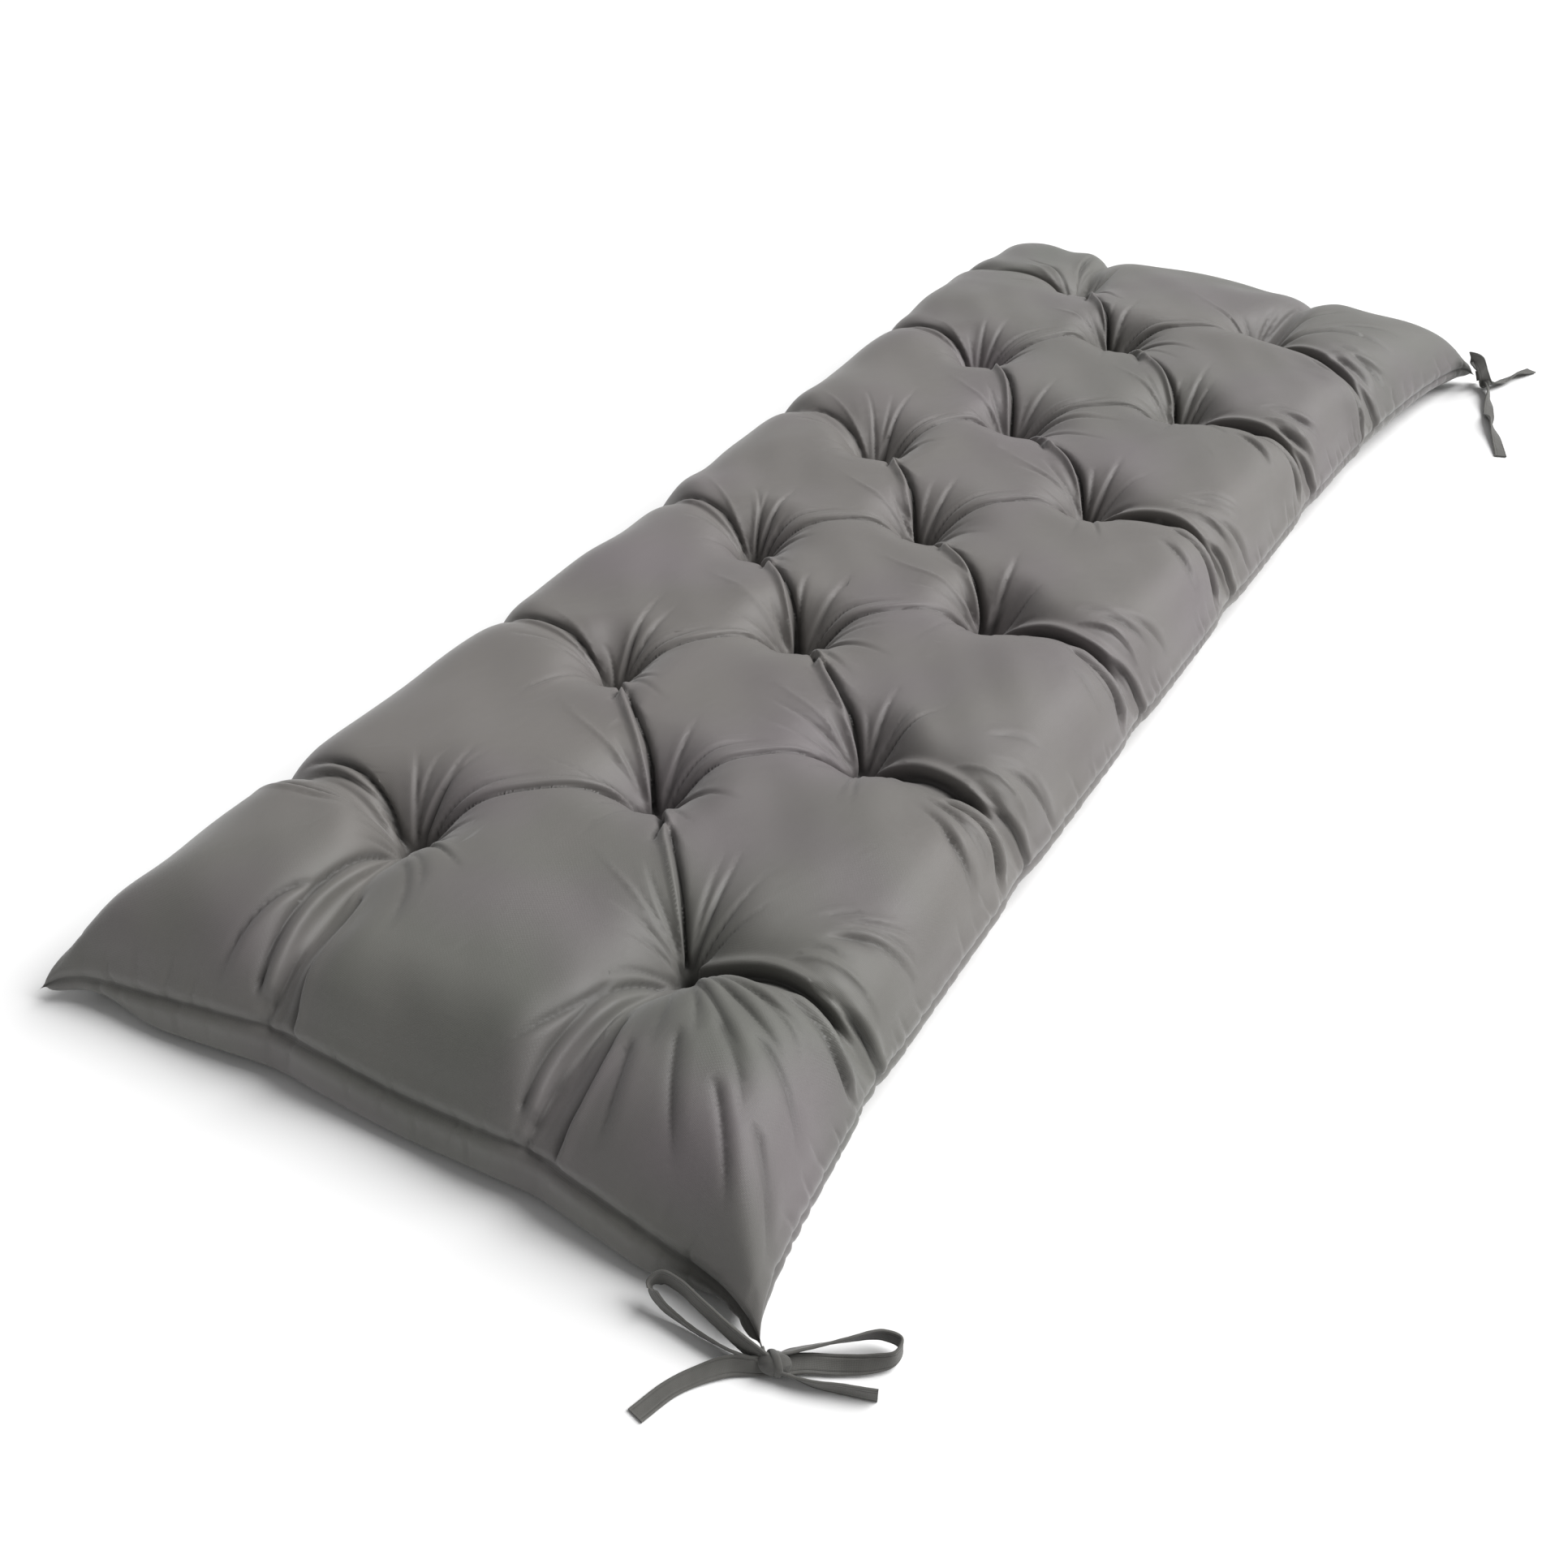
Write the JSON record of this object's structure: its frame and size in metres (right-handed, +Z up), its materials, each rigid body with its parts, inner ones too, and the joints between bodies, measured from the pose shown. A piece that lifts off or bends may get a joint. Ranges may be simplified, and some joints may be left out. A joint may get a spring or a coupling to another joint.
{
  "type": "tufted bench cushion",
  "caption": "Long tufted bench cushion with drawn-in sides, a sewn edge seam and tape ties at the two corners of one long side.",
  "frame": {"origin": "under the middle of the cushion, on the surface that it lies on", "axes": "+X across the cushion to the side with the ties, +Y along it to the far end, +Z up"},
  "size_m": [0.5809, 1.4587, 0.0937],
  "materials": {
    "cover_cloth": "smooth closely woven polyester in warm grey with a soft sheen",
    "tie_tape": "folded and stitched tape of the same grey cloth, matt"
  },
  "bodies": {
    "root": {"cushion": "cover_cloth", "tie_near": "tie_tape", "tie_far": "tie_tape"}
  },
  "joints": []
}
